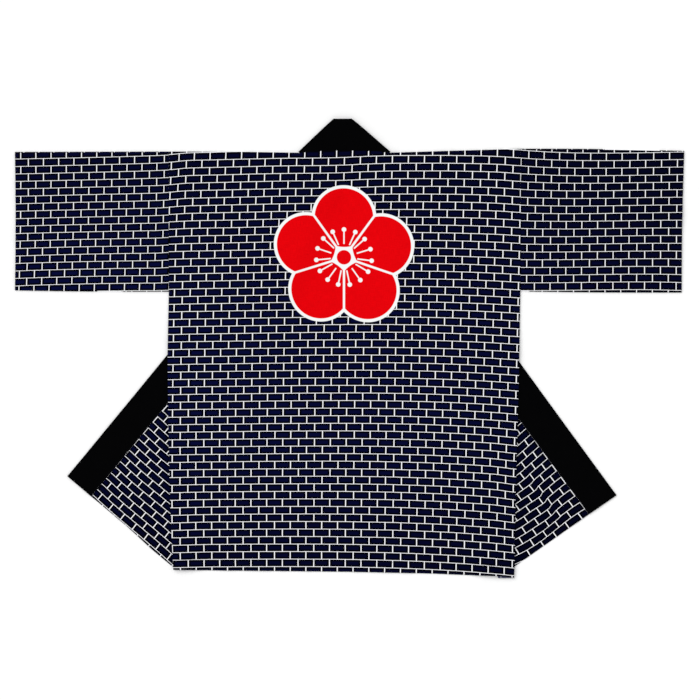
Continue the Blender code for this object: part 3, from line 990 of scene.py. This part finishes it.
sleeveCut = {
    "length": 310,
    "loft": 1.9,  # air between its two walls
    "loftForm": (0.6, 0.4, 1.15),  # a share all along, and one that swells and ends by the cuff
    "loftRise": 0.12,  # share of the length in which it rises from the armhole
    "slackRise": 0.06,
    # how loft, slack and hem thin out towards the top and bottom turn
    "loftHump": 0.7, "slackHump": 0.6, "hemHump": 0.3,
    "cuffSharpness": 8,  # of its bow
    "armLength": 300.0,
}


def makeSleeve(name):
    # a flattened tube: upper side, lower turn, under side, upper turn
    sleeve = sleeves[name]
    side = sleeve["side"]
    radius = cloth["ply"] / 2.0
    armTop, armLow, cuffTop, cuffLow = (
        np.array(sleeve[key]) for key in ("armTop", "armLow", "cuffTop", "cuffLow")
    )
    depth = np.linalg.norm(armTop - armLow)
    across = np.linspace(0.0, 1.0, round(depth / cloth["cell"]) + 1)
    along = np.linspace(0.0, 1.0, round(sleeveCut["length"] / cloth["cell"]) + 1)
    turning = np.arange(1, cloth["turnCells"]) / cloth["turnCells"]
    ring = [("upper", s) for s in across] + [("low", s) for s in turning]
    ring += [("under", 1.0 - s) for s in across] + [("top", s) for s in turning]

    def plan(down):
        bow = arch(along)
        top = armTop + np.outer(along, cuffTop - armTop)
        low = armLow + np.outer(along, cuffLow - armLow)
        top[:, 1] += sleeve["topBow"] * bow
        low[:, 1] += sleeve["lowBow"] * bow
        place = mix(top, low, down)
        bend = along ** sleeveCut["cuffSharpness"] * arch(down)
        place[:, 0] -= side * sleeve["cuffBow"] * bend
        return place

    def upperZ(place, share):
        hump = arch(share)
        steady, swelling, ends = sleeveCut["loftForm"]
        loft = steady + swelling * arch(np.minimum(along * ends, 1.0))
        loft = sleeveCut["loft"] * loft * smoothStep(along / sleeveCut["loftRise"])
        loose = creaseLift(place, "sleeves") + unevenness(place, "sleeves", side)
        loose = loose * smoothStep(along / sleeveCut["slackRise"])
        hemmed = hemLift(np.abs(place[:, 0] - cuffTop[0]))
        z = cloth["clothMid"] + cloth["ply"] + loft * hump ** sleeveCut["loftHump"]
        return z + loose * hump ** sleeveCut["slackHump"] + hemmed * hump ** sleeveCut["hemHump"]

    rows, flat, cut = [], [], []
    for part, share in ring:
        down = {"upper": share, "under": share, "low": 1.0, "top": 0.0}[part]
        place = plan(down)
        girth = {"upper": share, "under": 2.0 - share, "low": 1.0, "top": 2.0}[part] * depth
        girth = np.full(len(along), girth)
        flat.append(points(place[:, 0], armTop[1] - girth))
        cut.append(points(girth, np.abs(place[:, 0] - cuffTop[0])))
        if part == "upper":
            z = upperZ(place, share)
        elif part == "under":
            z = np.full(len(along), cloth["clothMid"])
        else:
            angle = math.pi * (share if part == "low" else 1.0 - share)
            place[:, 1] += (-1.0 if part == "low" else 1.0) * radius * math.sin(angle)
            z = np.full(len(along), cloth["clothMid"] + radius + radius * math.cos(angle))
        rows.append(points(place, z))
    # the seam under the top turn comes back to the first row
    flat.append(flat[0] - np.array([0.0, 2.0 * depth]))
    cut.append(cut[0] + np.array([2.0 * depth, 0.0]))

    printed = [printOn(spots, sleeve["grain"]) for spots in flat]
    mesh = wrapGrid(rows, printed, cut, closed=True)
    slots = [printedCotton(name + " sleeve print", sleeve["joint"], sleeve["paintedLightAndWear"]), reverse]
    piece = finishCloth("coatSleeve" + name.title(), mesh, cloth["wall"], slots)
    nearCuff = 1.0 - cloth["hemDepth"] / sleeveCut["armLength"]
    line = [spots for (part, _), spots in zip(ring, rows) if part == "upper"]
    line = np.array([
        [np.interp(nearCuff, along, spots[:, axis]) for axis in range(3)] for spots in line
    ])
    stitch = sewLine("cuffStitch" + name.title(), line, cloth["wall"])
    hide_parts("sleeve_" + name)


collar = {
    "size": (64.0, 850),
    "seamGap": 0.2,
    "tail": 3.0,  # of the neck's stretch, past its fold
    "part": 0.6,  # between its stretches
    "cell": 5.0,
    "neckCells": (13, 32),  # across the band, and behind the neck
    "seamLift": 0.4,  # of the neck's folded corners, towards the seam
    "cornerDip": (1.3, 8),  # and towards the free edge, and how sharply
    "stitchAt": 2.5,
    "stitchEnds": (1.5, 4.0),
    "stitchPoints": 200,
    "black": (0.0007, 0.0007, 0.0009),
    "blotch": 40.0,
    "sway": (0.7, 0.0),
    "wear": 0.01,
}


def collarEnds(front):
    offset = np.array([front["side"] * collar["seamGap"], 0.0])
    sewn = np.array(front["neck"]) - offset, np.array(front["hem"]) - offset
    return sewn, (np.array(front["freeNeck"]), np.array(front["freeHem"]))


def makeCollarSide(name):
    front = fronts[name]
    sewn, free = collarEnds(front)
    below = np.array([0.0, -collar["tail"] - collar["part"]])

    def place(column, row):
        high = mix(sewn[0], free[0], column[:, None]) + below
        low = mix(sewn[1], free[1], column[:, None])
        spot = mix(low, high, row[:, None])
        spot[:, 0] += front["side"] * front["freeBow"] * column * arch(row)
        return spot

    def seamX(y):
        return mix(sewn[1][0], sewn[0][0], (y - sewn[1][1]) / (sewn[0][1] - sewn[1][1]))

    mesh = cutCloth(collar["size"], collar["cell"], place)
    scoreFold(mesh, front)

    def lay(xy):
        spot = folded(xy, front, neckBandZ, flapBandZ)
        width = np.clip(np.abs(xy[:, 0] - seamX(xy[:, 1])) / collar["size"][0], 0.0, 1.0)
        spot[:, 2] += arch(width) * unevenness(xy, "collar")
        return spot

    def cut(xy):
        return points(xy[:, 1], np.abs(xy[:, 0] - seamX(xy[:, 1])))

    rules = (lay, cut, cut)
    slots = [black, black]
    piece = layCloth("coatCollar" + name.title(), mesh, rules, cloth["band"], slots, outsideDown=True)
    atHem, atTurn = collar["stitchEnds"]
    low, high = sewn[1][1] + atHem, crossing(front["neck"], front["hem"], front)[1] - atTurn
    y = np.linspace(low, high, collar["stitchPoints"])
    line = lay(points(seamX(y) - front["side"] * collar["stitchAt"], y))
    stitch = sewLine("collarStitch" + name.title(), line, cloth["band"])
    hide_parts("collar_" + name)


def makeCollarNeck():
    # flat behind the neck, and turned under at both ends
    radius = cloth["bandPly"] / 2.0
    across, behind = collar["neckCells"]
    widths = np.linspace(0.0, 1.0, across + 1)

    def turned(front, turn):
        sewn, free = collarEnds(front)
        along = (free[0] - sewn[0]) / np.linalg.norm(free[0] - sewn[0])
        outward = np.array([-along[1], along[0]]) * -front["side"]
        base = mix(sewn[0], free[0], widths[:, None])
        base[:, 1] += collar["seamLift"] * (1.0 - widths) * turn
        dip, sharpness = collar["cornerDip"]
        base[:, 1] -= dip * widths ** sharpness * arch(turn)
        spot = base + outward * radius * arch(turn)
        share = (1.0 - math.cos(math.pi * turn)) / 2.0
        z = mix(neckBandZ(base), collarBackZ(base), share)
        return points(spot, z)

    def tail(front, length):
        return turned(front, 0.0) - np.array([0.0, length, 0.0])

    left, right = fronts["left"], fronts["right"]
    turns = np.linspace(0.0, 1.0, cloth["turnCells"] + 1)
    rows = [tail(left, collar["tail"]), tail(left, collar["tail"] / 2.0)]
    rows += [turned(left, turn) for turn in turns]
    start, end = turned(left, 1.0), turned(right, 1.0)
    for share in np.linspace(0.0, 1.0, behind + 1)[1:-1]:
        spot = mix(start, end, share)
        spot[:, 2] = collarBackZ(spot[:, :2])
        rows.append(spot)
    rows += [turned(right, turn) for turn in reversed(turns)]
    rows += [tail(right, collar["tail"] / 2.0), tail(right, collar["tail"])]
    cut = [
        points(np.full(len(widths), i * collar["cell"]), widths * collar["size"][0])
        for i in range(len(rows))
    ]
    mesh = wrapGrid(rows, cut, cut)
    piece = finishCloth("coatCollarNeck", mesh, cloth["band"], [black, black])
    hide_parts("collar_neck")


reverse = reverseCotton("cotton wrong side")
black = plainCotton("black cotton", collar)
threadCotton = sewingThread("navy thread")
print("cottons made")
makeBack()
print("back laid")
for name in fronts:
    makeFront(name)
    makeSleeve(name)
    makeCollarSide(name)
makeCollarNeck()
print("fronts, sleeves and collar laid")

studio = {
    "floor": (0.93, 0.93, 0.93, 1.0),
    "floorSize": 60.0,  # metres
    "floorRoughness": 0.9,
    "floorShine": 0.1,
    "sky": 0.84,
    "lamp": 1.2,
    "lampSize": 50.0,  # how wide the lamp looks from the floor, in degrees
    "lampTurn": (-32.0, -34.0, 0.0),
    "sensor": 36.0,
    "cameraHeight": 6.0,  # metres
    "view": (0.78, -4.1, 1360.1),  # middle of the picture and its width
}


def makeStudio():
    nodes = Nodes("pale floor")
    nodes.shade({
        "Base Color": studio["floor"], "Roughness": studio["floorRoughness"],
        "Specular IOR Level": studio["floorShine"],
    })
    bpy.ops.mesh.primitive_plane_add(size=studio["floorSize"])
    floor = bpy.context.object
    floor.name = "floor"
    floor.data.materials.append(nodes.material)

    world = bpy.data.worlds.new("soft sky")
    world.use_nodes = True
    sky = world.node_tree.nodes["Background"]
    sky.inputs["Color"].default_value = (1.0, 1.0, 1.0, 1.0)
    sky.inputs["Strength"].default_value = studio["sky"]
    bpy.context.scene.world = world

    lamp = bpy.data.lights.new("broad lamp", "SUN")
    lamp.energy = studio["lamp"]
    lamp.angle = math.radians(studio["lampSize"])
    shining = addObject("broad lamp", lamp)
    shining.rotation_euler = [math.radians(turn) for turn in studio["lampTurn"]]

    x, y, width = (value * mm for value in studio["view"])
    camera = bpy.data.cameras.new("camera")
    camera.sensor_width = studio["sensor"]
    camera.lens = camera.sensor_width * studio["cameraHeight"] / width
    seen = addObject("camera", camera)
    seen.location = (x, y, studio["cameraHeight"])
    bpy.context.scene.camera = seen
    bpy.context.scene.view_settings.view_transform = "Standard"


makeStudio()
print("floor, light and camera set")
